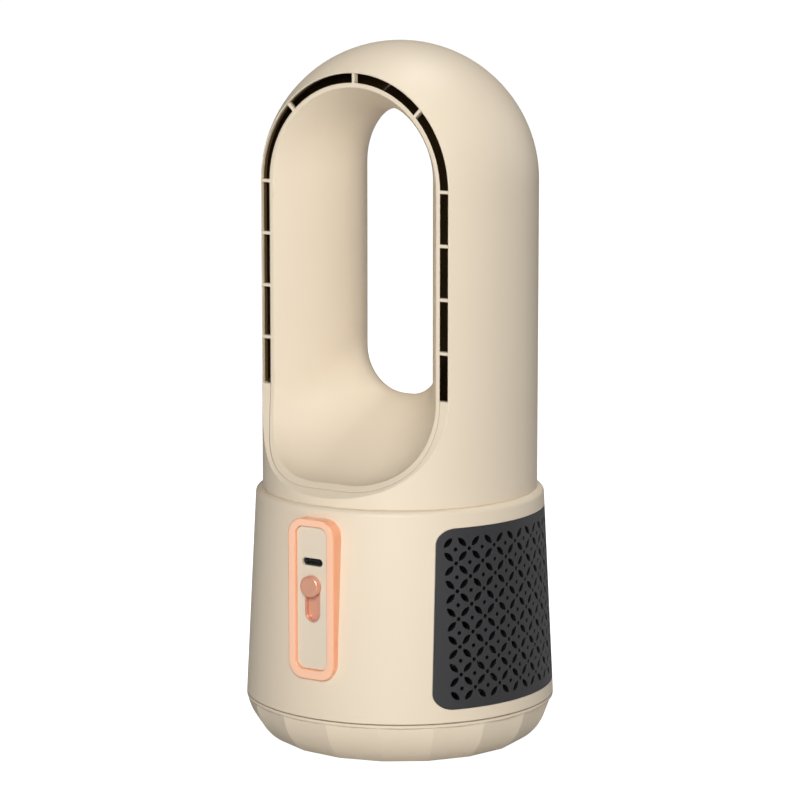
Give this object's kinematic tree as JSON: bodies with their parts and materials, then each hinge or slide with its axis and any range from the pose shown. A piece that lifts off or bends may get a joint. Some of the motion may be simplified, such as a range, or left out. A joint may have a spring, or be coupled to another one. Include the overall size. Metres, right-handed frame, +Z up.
{
  "type": "bladeless fan heater",
  "caption": "Small table-top bladeless fan heater: a capsule head with an open air loop and nozzle slots round its mouth, on a conical base with a side intake grille and a front slider.",
  "frame": {"origin": "centre of the base, on the surface that the rubber feet stand on", "axes": "+Z up, -Y towards the front with the control panel, +X to the right seen from the front"},
  "size_m": [0.108, 0.1099, 0.2436],
  "materials": {
    "beige_shell": "fine satin moulded plastic",
    "grille_grey": "matt moulded plastic",
    "bezel_peach": "satin peach plastic",
    "plate_cream": "satin plastic",
    "knob_pink": "satin plastic",
    "inner_plastic": "plain moulded plastic",
    "lever_white": "plain moulded plastic",
    "black_rubber": "matt rubber",
    "steel": "plain steel",
    "circuit_board": "green lacquer",
    "board_parts": "mixed small parts",
    "copper_winding": "lacquered copper wire",
    "magnet": "sintered magnet",
    "heater_metal": "bare sheet",
    "cutoff_case": "bare metal case",
    "cable_jacket": "smooth cable jacket"
  },
  "bodies": {
    "housing": {"head_shell": "beige_shell", "air_duct": "beige_shell", "base_housing": "beige_shell", "foot_cover": "beige_shell", "intake_grille": "grille_grey", "control_bezel": "bezel_peach", "control_plate": "plate_cream", "slide_track": "knob_pink", "slide_switch_body": "inner_plastic", "usb_socket_tongue": "inner_plastic", "cable_plugs": "inner_plastic", "pod_cap": "inner_plastic", "diffuser_pod": "inner_plastic", "blower_casing": "inner_plastic", "heater_frame": "inner_plastic", "rubber_feet": "black_rubber", "motor_damper": "black_rubber", "blower_gasket": "black_rubber", "cable_grommet": "black_rubber", "foot_screws": "steel", "control_board_screws": "steel", "main_board_screws": "steel", "head_screws": "steel", "motor_bearings": "steel", "usb_socket_shell": "steel", "motor_can": "steel", "motor_end_cap": "steel", "control_board": "circuit_board", "main_board": "circuit_board", "main_board_parts": "board_parts", "motor_stator": "copper_winding", "heater_fins": "heater_metal", "heater_ptc_bars": "heater_metal", "thermal_cutoff": "cutoff_case", "control_cable": "cable_jacket", "power_cable": "cable_jacket"},
    "slider": {"slide_knob": "knob_pink", "slide_carriage": "knob_pink", "slide_switch_lever": "lever_white"},
    "rotor": {"impeller": "lever_white", "impeller_nut": "steel", "motor_shaft": "steel", "motor_rotor": "magnet"}
  },
  "joints": [
    {"name": "slider_slide", "type": "slide", "parent": "housing", "child": "slider", "axis": [0, 0, -1], "range_m": [0, 0.0095]},
    {"name": "impeller_spin", "type": "hinge", "parent": "housing", "child": "rotor", "pos_m": [0, 0, 0.05], "axis": [0, 0, 1], "continuous": true}
  ]
}
